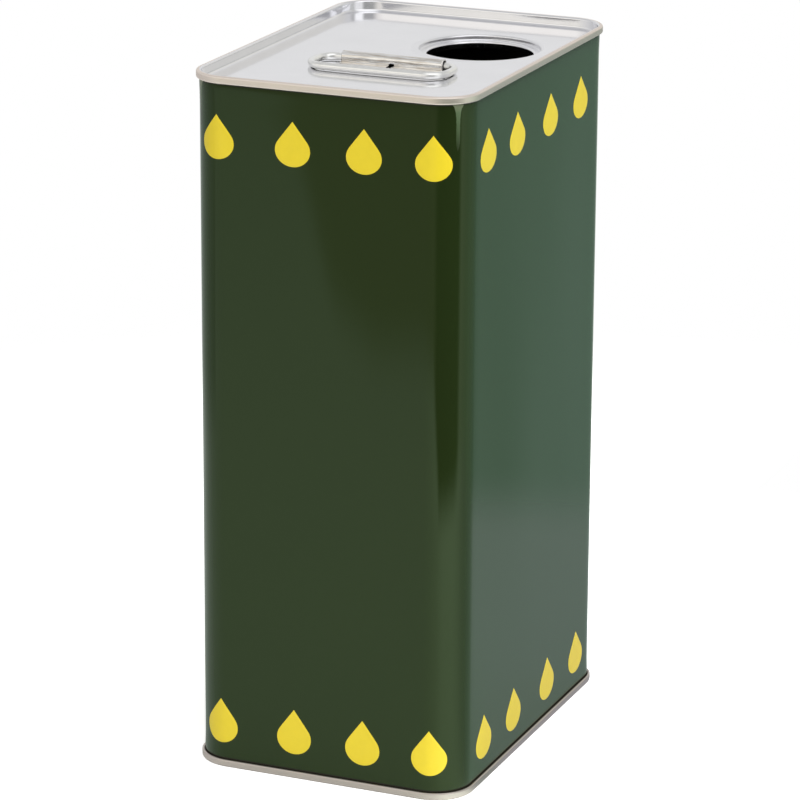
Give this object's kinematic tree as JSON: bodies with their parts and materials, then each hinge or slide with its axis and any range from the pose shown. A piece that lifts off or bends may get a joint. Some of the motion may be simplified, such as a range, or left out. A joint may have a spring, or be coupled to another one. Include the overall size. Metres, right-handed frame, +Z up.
{
  "type": "oil tin",
  "caption": "Tall oblong tinplate oil tin with rounded corners, double-seamed ends, an open recessed pour hole and a wire handle that folds flat on the sunk top.",
  "frame": {"origin": "middle of the underside, in the plane the bottom seam stands on", "axes": "+Z up the tin, X across the narrow faces, -Y the narrow front face, the pour hole towards +X and +Y"},
  "size_m": [0.1182, 0.1642, 0.286],
  "materials": {
    "green_lacquer": "gloss stove lacquer over tinplate, printed with yellow drops",
    "bright_tinplate": "bright tinned steel",
    "strap_tinplate": "bright tinned steel with a faint warm varnish",
    "drawn_wire": "galvanised drawn wire",
    "sealing_compound": "cured sealing compound"
  },
  "bodies": {
    "tin": {"body_shell": "green_lacquer", "top_end": "bright_tinplate", "bottom_end": "bright_tinplate", "top_seam_compound": "sealing_compound", "bottom_seam_compound": "sealing_compound", "handle_clip": "strap_tinplate"},
    "handle": {"wire_handle": "drawn_wire"}
  },
  "joints": [
    {"name": "handle_swing", "type": "hinge", "parent": "tin", "child": "handle", "pos_m": [0.0014, -0.01694, 0.2832], "axis": [-1, 0, 0], "range_deg": [0, 180]}
  ]
}
